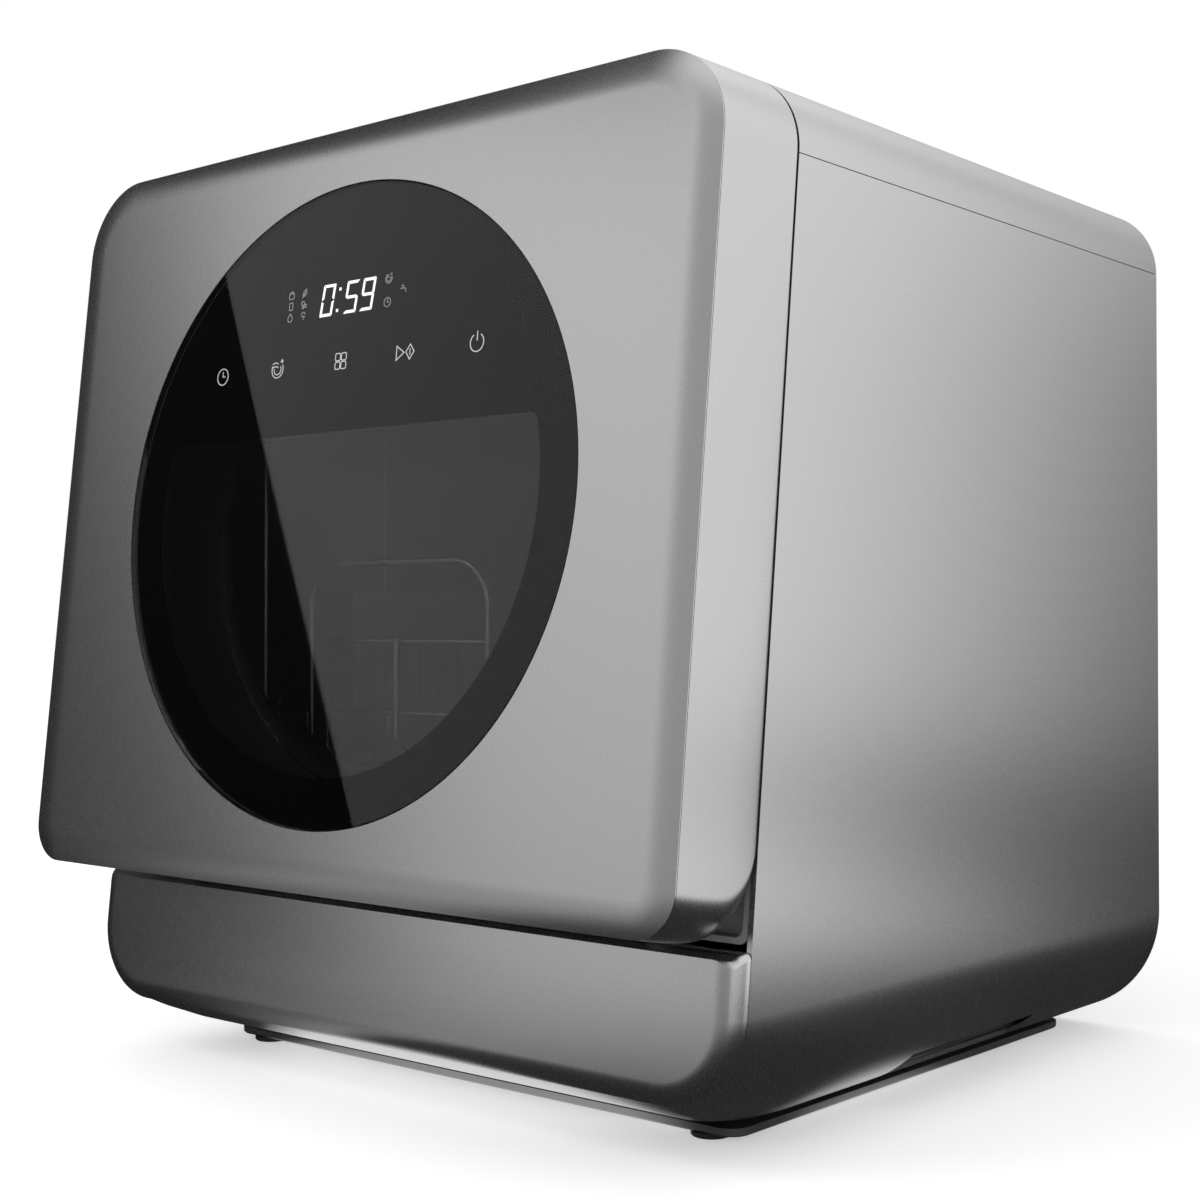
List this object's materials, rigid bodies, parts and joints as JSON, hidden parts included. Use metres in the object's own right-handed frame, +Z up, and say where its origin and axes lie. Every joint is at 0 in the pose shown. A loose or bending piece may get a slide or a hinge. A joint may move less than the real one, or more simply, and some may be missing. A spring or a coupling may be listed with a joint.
{
  "type": "countertop dishwasher",
  "caption": "Countertop dishwasher with a leaning drop-down door, round glass with a clear lower window, wire rack with cutlery basket, spray arm and a fill port in its top.",
  "frame": {"origin": "on the ground under the middle of the whole object's width and depth", "axes": "+Z up, the door faces -Y, +X to the right of someone who faces the door"},
  "size_m": [0.42, 0.4348, 0.4553],
  "materials": {
    "silver_shell": "satin silver paint",
    "dark_trim": "fine-grained black",
    "steel_sheet": "drawn stainless steel",
    "steel_wire": "polished stainless wire",
    "grey_plastic": "satin grey",
    "rubber": "matt black",
    "circuit_board": "lacquered green",
    "white_plastic": "off-white",
    "clear_pane": "clear",
    "black_glass": "black-printed glass, clear in its lower part",
    "translucent_tank": "milky translucent"
  },
  "bodies": {
    "cabinet": {"left_side_panel": "silver_shell", "right_side_panel": "silver_shell", "top_cover": "silver_shell", "underbody_pan": "silver_shell", "lower_front_panel": "silver_shell", "rear_panel": "dark_trim", "base_plate": "dark_trim", "side_grip_left": "dark_trim", "side_grip_right": "dark_trim", "wash_pump": "dark_trim", "drain_pump": "dark_trim", "cord_gland": "dark_trim", "fan_housing": "dark_trim", "latch_housing": "dark_trim", "wash_tub": "steel_sheet", "filter_plate": "steel_sheet", "heating_element": "steel_sheet", "hinge_bracket_left": "steel_sheet", "hinge_bracket_right": "steel_sheet", "front_frame": "grey_plastic", "sump": "grey_plastic", "spray_post": "grey_plastic", "riser_tube": "grey_plastic", "drain_spout": "grey_plastic", "fill_funnel": "grey_plastic", "rack_rail_left": "grey_plastic", "rack_rail_right": "grey_plastic", "shelf_strip": "grey_plastic", "foot_front_left": "rubber", "foot_front_right": "rubber", "foot_rear_left": "rubber", "foot_rear_right": "rubber", "tub_gasket": "rubber", "wash_hose": "rubber", "drain_hose": "rubber", "control_board": "circuit_board", "inlet_valve": "white_plastic", "water_tank": "translucent_tank"},
    "door": {"door_frame": "silver_shell", "door_front_panel": "silver_shell", "door_glass": "black_glass", "glass_carrier": "dark_trim", "display_board": "circuit_board", "door_liner": "grey_plastic", "liner_window": "clear_pane", "detergent_cup": "grey_plastic", "latch_hook": "grey_plastic", "hinge_block_left": "grey_plastic", "hinge_block_right": "grey_plastic", "hinge_pin_left": "steel_sheet", "hinge_pin_right": "steel_sheet"},
    "lid": {"detergent_lid": "grey_plastic"},
    "rack": {"dish_rack": "steel_wire", "cutlery_basket": "grey_plastic"},
    "arm": {"spray_arm": "grey_plastic"},
    "filter": {"filter_cup": "grey_plastic"},
    "cap": {"fill_cap": "grey_plastic"},
    "wheel": {"fan_wheel": "grey_plastic"},
    "shelf": {"cup_shelf": "steel_wire"}
  },
  "joints": [
    {"name": "door_hinge", "type": "hinge", "parent": "cabinet", "child": "door", "pos_m": [0, -0.18385, 0.107], "axis": [1, 0, 0], "range_deg": [0, 96]},
    {"name": "rack_slide", "type": "slide", "parent": "cabinet", "child": "rack", "axis": [0, -1, 0], "range_m": [0, 0.143]},
    {"name": "lid_slide", "type": "slide", "parent": "door", "child": "lid", "axis": [-1, 0, 0], "range_m": [0, 0.045]},
    {"name": "spray_arm_spin", "type": "hinge", "parent": "cabinet", "child": "arm", "pos_m": [0, 0, 0.1262], "axis": [0, 0, 1], "continuous": true},
    {"name": "filter_twist", "type": "hinge", "parent": "cabinet", "child": "filter", "pos_m": [0, -0.066, 0.118], "axis": [0, 0, 1], "range_deg": [0, 55]},
    {"name": "fill_cap_hinge", "type": "hinge", "parent": "cabinet", "child": "cap", "pos_m": [0.1, 0.1285, 0.4523], "axis": [-1, 0, 0], "range_deg": [0, 100]},
    {"name": "fan_spin", "type": "hinge", "parent": "cabinet", "child": "wheel", "pos_m": [-0.1, 0.1748, 0.32], "axis": [0, 1, 0], "continuous": true},
    {"name": "cup_shelf_fold", "type": "hinge", "parent": "cabinet", "child": "shelf", "pos_m": [0.1654, -0.06, 0.3], "axis": [0, 1, 0], "range_deg": [0, 80]}
  ],
  "couplings": [
    {"joint": "rack_slide", "follows": "door_hinge", "m_per_rad": 0.085}
  ]
}
